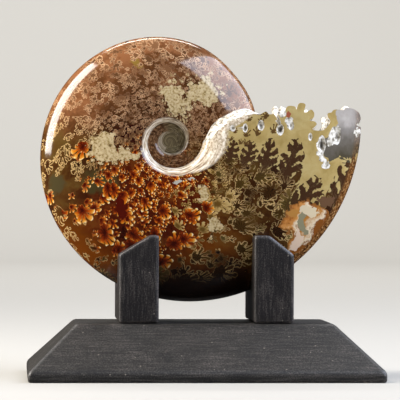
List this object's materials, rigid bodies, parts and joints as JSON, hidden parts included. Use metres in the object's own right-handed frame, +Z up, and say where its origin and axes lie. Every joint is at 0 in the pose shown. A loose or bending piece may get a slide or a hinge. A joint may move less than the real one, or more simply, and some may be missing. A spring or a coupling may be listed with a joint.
{
  "type": "cleoniceras ammonite on a wooden stand",
  "caption": "Polished coiled ammonite fossil with a frilled broken aperture, standing on edge in a notched black wooden display stand.",
  "frame": {"origin": "middle of the plinth's underside", "axes": "+X along the plinth to the viewer's right, +Y away from the viewer, +Z up"},
  "size_m": [0.152, 0.089, 0.1483],
  "materials": {
    "agatised_shell": "polished",
    "black_stained_wood": "stained"
  },
  "bodies": {
    "root": {"ammonite": "agatised_shell", "stand_base": "black_stained_wood", "left_upright": "black_stained_wood", "right_upright": "black_stained_wood"}
  },
  "joints": []
}
